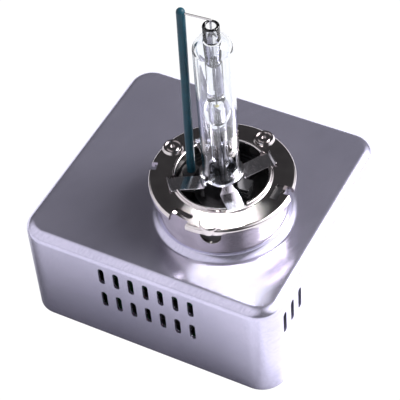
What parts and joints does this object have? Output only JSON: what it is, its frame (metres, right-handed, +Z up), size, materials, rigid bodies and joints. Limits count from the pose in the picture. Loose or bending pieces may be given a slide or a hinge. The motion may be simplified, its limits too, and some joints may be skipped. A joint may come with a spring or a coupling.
{
  "type": "headlight bulb",
  "caption": "Gas-discharge headlight bulb: a glass burner in a flanged metal collar on a vented metal case that holds its igniter and ballast.",
  "frame": {"origin": "middle of the case's underside", "axes": "+Z up along the burner, -Y towards the case's face with two rows of vents, +X towards the face with three vents"},
  "size_m": [0.07, 0.065, 0.0936],
  "materials": {
    "case_metal": "brushed sheet, satin",
    "plate_metal": "satin",
    "screw_steel": "zinc plated",
    "black_moulding": "moulded, matt",
    "board_laminate": "lacquered",
    "heat_pad": "soft, matt",
    "seal_rubber": "matt",
    "contact_brass": "plated",
    "bobbin_moulding": "moulded",
    "ferrite": "sintered",
    "copper_wire": "enamelled copper",
    "coil_tape": "wound tape",
    "spark_gap_ceramic": "fired",
    "red_epoxy": "dipped",
    "yellow_film": "cast",
    "blue_sleeve": "shrink sleeve",
    "choke_core": "coated",
    "chip_epoxy": "moulded",
    "collar_nickel": "polished nickel",
    "clamp_steel": "bright rolled",
    "jacket_glass": "clear",
    "arc_quartz": "clear, fire polished",
    "metal_salts": "crystalline",
    "tungsten": "drawn",
    "molybdenum": "rolled",
    "lead_wire": "drawn",
    "teal_ceramic": "glazed"
  },
  "bodies": {
    "root": {"ballast_can": "case_metal", "bottom_plate": "plate_metal", "plate_screw_1": "screw_steel", "plate_screw_2": "screw_steel", "plate_screw_3": "screw_steel", "plate_screw_4": "screw_steel", "board_screw_1": "screw_steel", "board_screw_2": "screw_steel", "board_screw_3": "screw_steel", "board_screw_4": "screw_steel", "inner_frame": "black_moulding", "connector_housing": "black_moulding", "base_insulator": "black_moulding", "tube_socket": "black_moulding", "circuit_board": "board_laminate", "thermal_pad": "heat_pad", "connector_seal": "seal_rubber", "connector_pin_1": "contact_brass", "connector_pin_2": "contact_brass", "connector_pin_3": "contact_brass", "connector_pin_4": "contact_brass", "hv_contact": "contact_brass", "return_contact": "contact_brass", "igniter_bobbin": "bobbin_moulding", "igniter_core": "ferrite", "transformer_core": "ferrite", "igniter_winding": "copper_wire", "transformer_coil": "coil_tape", "spark_gap": "spark_gap_ceramic", "ignition_capacitor": "red_epoxy", "film_capacitor": "yellow_film", "input_capacitor": "blue_sleeve", "input_choke": "choke_core", "power_switch_1": "chip_epoxy", "power_switch_2": "chip_epoxy", "power_switch_3": "chip_epoxy", "power_switch_4": "chip_epoxy", "controller_chip": "chip_epoxy", "collar_neck": "collar_nickel", "flange_ring": "collar_nickel", "burner_sleeve": "clamp_steel", "clamp_arm_1": "clamp_steel", "clamp_arm_2": "clamp_steel", "clamp_arm_3": "clamp_steel", "clamp_arm_4": "clamp_steel", "outer_jacket": "jacket_glass", "arc_tube": "arc_quartz", "salt_pellet": "metal_salts", "electrode_upper": "tungsten", "electrode_lower": "tungsten", "foil_upper": "molybdenum", "foil_lower": "molybdenum", "lead_upper": "molybdenum", "lead_lower": "molybdenum", "return_wire": "lead_wire", "return_tube": "teal_ceramic"}
  },
  "joints": []
}
